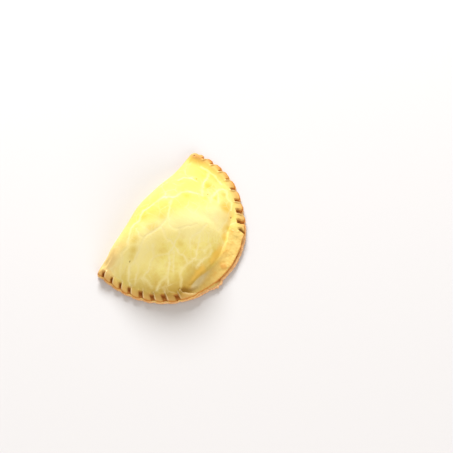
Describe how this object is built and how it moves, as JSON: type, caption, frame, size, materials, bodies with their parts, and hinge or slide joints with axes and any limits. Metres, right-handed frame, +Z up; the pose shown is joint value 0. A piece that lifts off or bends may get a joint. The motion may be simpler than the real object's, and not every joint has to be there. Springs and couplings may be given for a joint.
{
  "type": "baked turnover",
  "caption": "Half-moon baked turnover of golden egg-washed pastry, folded over its filling, with a fork-crimped rim and an uncrimped stretch of layered edge.",
  "frame": {"origin": "middle of the footprint's bounding box, on the flat base", "axes": "+X along the folded edge, -Y towards the crimped rim, +Z up out of the domed top"},
  "size_m": [0.13, 0.0858, 0.0337],
  "materials": {
    "crust": "baked shortcrust pastry with a thin crackled egg wash, satin, browned at the rim"
  },
  "bodies": {
    "root": {"turnover": "crust"}
  },
  "joints": []
}
